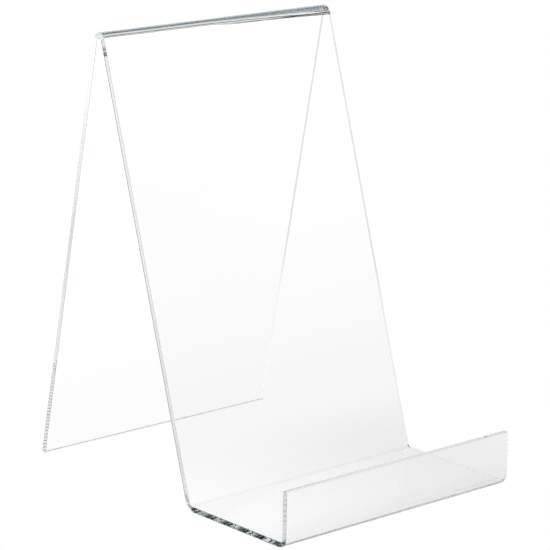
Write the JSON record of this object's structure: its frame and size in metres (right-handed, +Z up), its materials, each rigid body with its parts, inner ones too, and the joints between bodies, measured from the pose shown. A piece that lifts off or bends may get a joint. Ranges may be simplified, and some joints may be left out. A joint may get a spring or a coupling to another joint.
{
  "type": "book display stand",
  "caption": "Clear acrylic book easel bent from one sheet: tall leaning panel, back leg meeting it at a rounded ridge, flat shelf and short upright lip.",
  "frame": {"origin": "on the table, in the middle of the footprint", "axes": "+X runs along the bend lines, the lip and the book's cover face -Y, +Z is up"},
  "size_m": [0.152, 0.1943, 0.231],
  "materials": {
    "clear_acrylic": "clear cast acrylic, glossy faces, polished edges"
  },
  "bodies": {
    "root": {"lip": "clear_acrylic", "lip_bend": "clear_acrylic", "shelf": "clear_acrylic", "heel_bend": "clear_acrylic", "front_panel": "clear_acrylic", "ridge_bend": "clear_acrylic", "back_leg": "clear_acrylic"}
  },
  "joints": []
}
